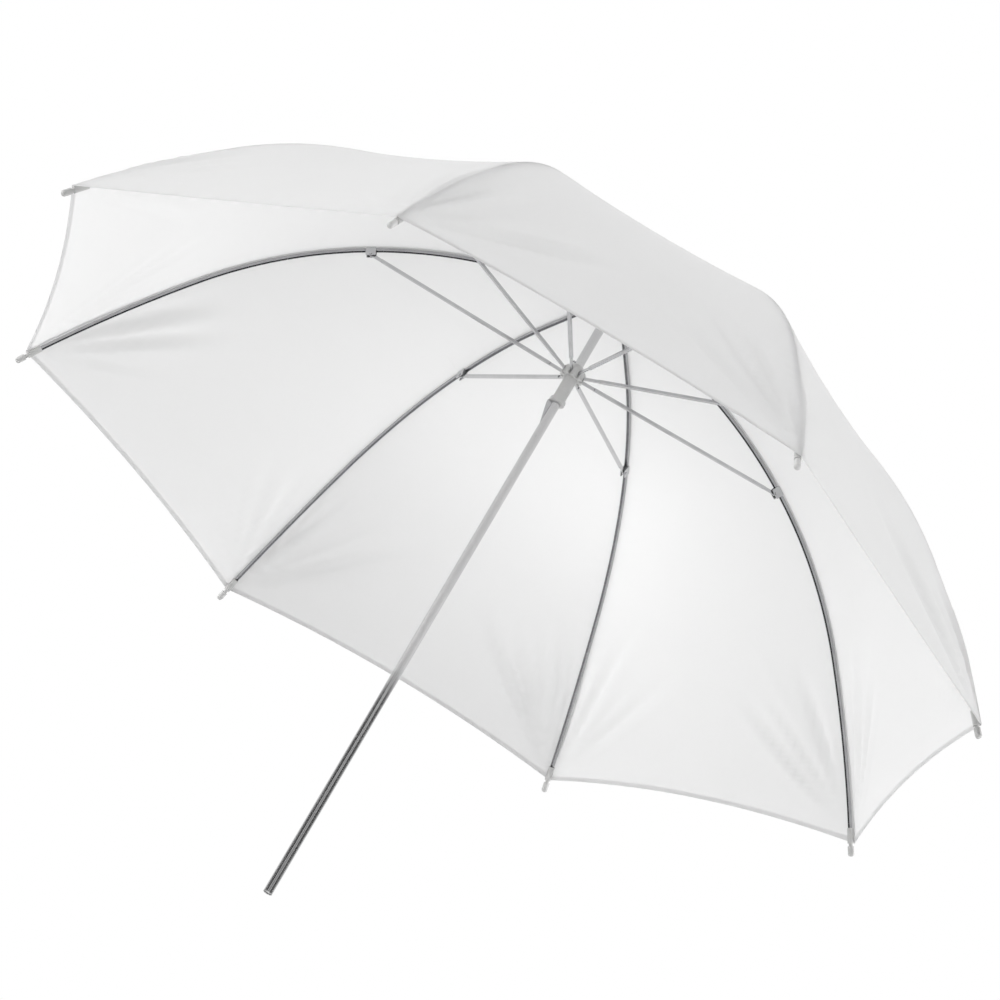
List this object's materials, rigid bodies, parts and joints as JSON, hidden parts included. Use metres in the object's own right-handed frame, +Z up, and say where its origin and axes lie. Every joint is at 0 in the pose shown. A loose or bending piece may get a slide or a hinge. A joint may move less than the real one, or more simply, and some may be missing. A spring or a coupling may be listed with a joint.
{
  "type": "umbrella reflector",
  "caption": "White translucent studio umbrella on a straight round shaft: a domed fabric canopy on hinged, strutted ribs that folds as its runner slides down.",
  "frame": {"origin": "centre of the shaft's free lower end", "axes": "+Z up the shaft towards the canopy; the spring catch is on the -X side"},
  "size_m": [0.8548, 0.8548, 0.6364],
  "materials": {
    "chrome": "bright chromed steel tube",
    "rib_steel": "nickel plated steel channel",
    "clip_steel": "bright pressed steel",
    "plastic": "moulded pale grey nylon",
    "fabric": "white translucent nylon"
  },
  "bodies": {
    "shaft": {"shaft": "chrome", "shaft_end_plug": "plastic", "notch": "plastic", "notch_ring": "clip_steel", "notch_pin": "clip_steel", "canopy_washer": "plastic", "ferrule": "chrome", "stop_pin": "clip_steel", "catch_pin": "clip_steel"},
    "runner": {"runner": "plastic"},
    "catch": {"spring_catch": "clip_steel"},
    "rib_inner_1": {"rib_inner_1": "rib_steel", "rib_clevis_1": "clip_steel", "canopy_gore_1": "fabric"},
    "rib_outer_1": {"rib_outer_1": "rib_steel", "rib_tip_1": "plastic"},
    "stretcher_1": {"stretcher_1": "rib_steel"},
    "rib_inner_2": {"rib_inner_2": "rib_steel", "rib_clevis_2": "clip_steel", "canopy_gore_2": "fabric"},
    "rib_outer_2": {"rib_outer_2": "rib_steel", "rib_tip_2": "plastic"},
    "stretcher_2": {"stretcher_2": "rib_steel"},
    "rib_inner_3": {"rib_inner_3": "rib_steel", "rib_clevis_3": "clip_steel", "canopy_gore_3": "fabric"},
    "rib_outer_3": {"rib_outer_3": "rib_steel", "rib_tip_3": "plastic"},
    "stretcher_3": {"stretcher_3": "rib_steel"},
    "rib_inner_4": {"rib_inner_4": "rib_steel", "rib_clevis_4": "clip_steel", "canopy_gore_4": "fabric"},
    "rib_outer_4": {"rib_outer_4": "rib_steel", "rib_tip_4": "plastic"},
    "stretcher_4": {"stretcher_4": "rib_steel"},
    "rib_inner_5": {"rib_inner_5": "rib_steel", "rib_clevis_5": "clip_steel", "canopy_gore_5": "fabric"},
    "rib_outer_5": {"rib_outer_5": "rib_steel", "rib_tip_5": "plastic"},
    "stretcher_5": {"stretcher_5": "rib_steel"},
    "rib_inner_6": {"rib_inner_6": "rib_steel", "rib_clevis_6": "clip_steel", "canopy_gore_6": "fabric"},
    "rib_outer_6": {"rib_outer_6": "rib_steel", "rib_tip_6": "plastic"},
    "stretcher_6": {"stretcher_6": "rib_steel"},
    "rib_inner_7": {"rib_inner_7": "rib_steel", "rib_clevis_7": "clip_steel", "canopy_gore_7": "fabric"},
    "rib_outer_7": {"rib_outer_7": "rib_steel", "rib_tip_7": "plastic"},
    "stretcher_7": {"stretcher_7": "rib_steel"},
    "rib_inner_8": {"rib_inner_8": "rib_steel", "rib_clevis_8": "clip_steel", "canopy_gore_8": "fabric"},
    "rib_outer_8": {"rib_outer_8": "rib_steel", "rib_tip_8": "plastic"},
    "stretcher_8": {"stretcher_8": "rib_steel"}
  },
  "joints": [
    {"name": "runner_slide", "type": "slide", "parent": "shaft", "child": "runner", "axis": [0, 0, -1], "range_m": [0, 0.35124], "deforming": ["spring_catch", "canopy_gore_1", "canopy_gore_2", "canopy_gore_3", "canopy_gore_4", "canopy_gore_5", "canopy_gore_6", "canopy_gore_7", "canopy_gore_8"]},
    {"name": "rib_hinge_1", "type": "hinge", "parent": "shaft", "child": "rib_inner_1", "pos_m": [0.00831, 0.00344, 0.621], "axis": [-0.3827, 0.9239, 0], "range_deg": [0, 76.2]},
    {"name": "rib_flex_1", "type": "hinge", "parent": "rib_inner_1", "child": "rib_outer_1", "pos_m": [0.21294, 0.0882, 0.58167], "axis": [0.3827, -0.9239, 0], "range_deg": [0, 37.2]},
    {"name": "stretcher_hinge_1", "type": "hinge", "parent": "rib_inner_1", "child": "stretcher_1", "pos_m": [0.20621, 0.08542, 0.57859], "axis": [0.3827, -0.9239, 0], "range_deg": [0, 152.15]},
    {"name": "rib_hinge_2", "type": "hinge", "parent": "shaft", "child": "rib_inner_2", "pos_m": [0.00344, 0.00831, 0.621], "axis": [-0.9239, 0.3827, 0], "range_deg": [0, 76.2]},
    {"name": "rib_flex_2", "type": "hinge", "parent": "rib_inner_2", "child": "rib_outer_2", "pos_m": [0.0882, 0.21294, 0.58167], "axis": [0.9239, -0.3827, 0], "range_deg": [0, 37.2]},
    {"name": "stretcher_hinge_2", "type": "hinge", "parent": "rib_inner_2", "child": "stretcher_2", "pos_m": [0.08542, 0.20621, 0.57859], "axis": [0.9239, -0.3827, 0], "range_deg": [0, 152.15]},
    {"name": "rib_hinge_3", "type": "hinge", "parent": "shaft", "child": "rib_inner_3", "pos_m": [-0.00344, 0.00831, 0.621], "axis": [-0.9239, -0.3827, 0], "range_deg": [0, 76.2]},
    {"name": "rib_flex_3", "type": "hinge", "parent": "rib_inner_3", "child": "rib_outer_3", "pos_m": [-0.0882, 0.21294, 0.58167], "axis": [0.9239, 0.3827, 0], "range_deg": [0, 37.2]},
    {"name": "stretcher_hinge_3", "type": "hinge", "parent": "rib_inner_3", "child": "stretcher_3", "pos_m": [-0.08542, 0.20621, 0.57859], "axis": [0.9239, 0.3827, 0], "range_deg": [0, 152.15]},
    {"name": "rib_hinge_4", "type": "hinge", "parent": "shaft", "child": "rib_inner_4", "pos_m": [-0.00831, 0.00344, 0.621], "axis": [-0.3827, -0.9239, 0], "range_deg": [0, 76.2]},
    {"name": "rib_flex_4", "type": "hinge", "parent": "rib_inner_4", "child": "rib_outer_4", "pos_m": [-0.21294, 0.0882, 0.58167], "axis": [0.3827, 0.9239, 0], "range_deg": [0, 37.2]},
    {"name": "stretcher_hinge_4", "type": "hinge", "parent": "rib_inner_4", "child": "stretcher_4", "pos_m": [-0.20621, 0.08542, 0.57859], "axis": [0.3827, 0.9239, 0], "range_deg": [0, 152.15]},
    {"name": "rib_hinge_5", "type": "hinge", "parent": "shaft", "child": "rib_inner_5", "pos_m": [-0.00831, -0.00344, 0.621], "axis": [0.3827, -0.9239, 0], "range_deg": [0, 76.2]},
    {"name": "rib_flex_5", "type": "hinge", "parent": "rib_inner_5", "child": "rib_outer_5", "pos_m": [-0.21294, -0.0882, 0.58167], "axis": [-0.3827, 0.9239, 0], "range_deg": [0, 37.2]},
    {"name": "stretcher_hinge_5", "type": "hinge", "parent": "rib_inner_5", "child": "stretcher_5", "pos_m": [-0.20621, -0.08542, 0.57859], "axis": [-0.3827, 0.9239, 0], "range_deg": [0, 152.15]},
    {"name": "rib_hinge_6", "type": "hinge", "parent": "shaft", "child": "rib_inner_6", "pos_m": [-0.00344, -0.00831, 0.621], "axis": [0.9239, -0.3827, 0], "range_deg": [0, 76.2]},
    {"name": "rib_flex_6", "type": "hinge", "parent": "rib_inner_6", "child": "rib_outer_6", "pos_m": [-0.0882, -0.21294, 0.58167], "axis": [-0.9239, 0.3827, 0], "range_deg": [0, 37.2]},
    {"name": "stretcher_hinge_6", "type": "hinge", "parent": "rib_inner_6", "child": "stretcher_6", "pos_m": [-0.08542, -0.20621, 0.57859], "axis": [-0.9239, 0.3827, 0], "range_deg": [0, 152.15]},
    {"name": "rib_hinge_7", "type": "hinge", "parent": "shaft", "child": "rib_inner_7", "pos_m": [0.00344, -0.00831, 0.621], "axis": [0.9239, 0.3827, 0], "range_deg": [0, 76.2]},
    {"name": "rib_flex_7", "type": "hinge", "parent": "rib_inner_7", "child": "rib_outer_7", "pos_m": [0.0882, -0.21294, 0.58167], "axis": [-0.9239, -0.3827, 0], "range_deg": [0, 37.2]},
    {"name": "stretcher_hinge_7", "type": "hinge", "parent": "rib_inner_7", "child": "stretcher_7", "pos_m": [0.08542, -0.20621, 0.57859], "axis": [-0.9239, -0.3827, 0], "range_deg": [0, 152.15]},
    {"name": "rib_hinge_8", "type": "hinge", "parent": "shaft", "child": "rib_inner_8", "pos_m": [0.00831, -0.00344, 0.621], "axis": [0.3827, 0.9239, 0], "range_deg": [0, 76.2]},
    {"name": "rib_flex_8", "type": "hinge", "parent": "rib_inner_8", "child": "rib_outer_8", "pos_m": [0.21294, -0.0882, 0.58167], "axis": [-0.3827, -0.9239, 0], "range_deg": [0, 37.2]},
    {"name": "stretcher_hinge_8", "type": "hinge", "parent": "rib_inner_8", "child": "stretcher_8", "pos_m": [0.20621, -0.08542, 0.57859], "axis": [-0.3827, -0.9239, 0], "range_deg": [0, 152.15]},
    {"name": "catch_press", "type": "hinge", "parent": "shaft", "child": "catch", "pos_m": [-0.0012, 0, 0.4672], "axis": [0, 1, 0], "range_deg": [0, 6], "stiffness_Nm_per_rad": 0.05}
  ],
  "couplings": [
    {"joint": "rib_hinge_1", "follows": "runner_slide", "rad_per_m": 3.7765},
    {"joint": "rib_flex_1", "follows": "runner_slide", "rad_per_m": 1.8385},
    {"joint": "stretcher_hinge_1", "follows": "runner_slide", "rad_per_m": 7.5506},
    {"joint": "rib_hinge_2", "follows": "runner_slide", "rad_per_m": 3.7765},
    {"joint": "rib_flex_2", "follows": "runner_slide", "rad_per_m": 1.8385},
    {"joint": "stretcher_hinge_2", "follows": "runner_slide", "rad_per_m": 7.5506},
    {"joint": "rib_hinge_3", "follows": "runner_slide", "rad_per_m": 3.7765},
    {"joint": "rib_flex_3", "follows": "runner_slide", "rad_per_m": 1.8385},
    {"joint": "stretcher_hinge_3", "follows": "runner_slide", "rad_per_m": 7.5506},
    {"joint": "rib_hinge_4", "follows": "runner_slide", "rad_per_m": 3.7765},
    {"joint": "rib_flex_4", "follows": "runner_slide", "rad_per_m": 1.8385},
    {"joint": "stretcher_hinge_4", "follows": "runner_slide", "rad_per_m": 7.5506},
    {"joint": "rib_hinge_5", "follows": "runner_slide", "rad_per_m": 3.7765},
    {"joint": "rib_flex_5", "follows": "runner_slide", "rad_per_m": 1.8385},
    {"joint": "stretcher_hinge_5", "follows": "runner_slide", "rad_per_m": 7.5506},
    {"joint": "rib_hinge_6", "follows": "runner_slide", "rad_per_m": 3.7765},
    {"joint": "rib_flex_6", "follows": "runner_slide", "rad_per_m": 1.8385},
    {"joint": "stretcher_hinge_6", "follows": "runner_slide", "rad_per_m": 7.5506},
    {"joint": "rib_hinge_7", "follows": "runner_slide", "rad_per_m": 3.7765},
    {"joint": "rib_flex_7", "follows": "runner_slide", "rad_per_m": 1.8385},
    {"joint": "stretcher_hinge_7", "follows": "runner_slide", "rad_per_m": 7.5506},
    {"joint": "rib_hinge_8", "follows": "runner_slide", "rad_per_m": 3.7765},
    {"joint": "rib_flex_8", "follows": "runner_slide", "rad_per_m": 1.8385},
    {"joint": "stretcher_hinge_8", "follows": "runner_slide", "rad_per_m": 7.5506}
  ]
}
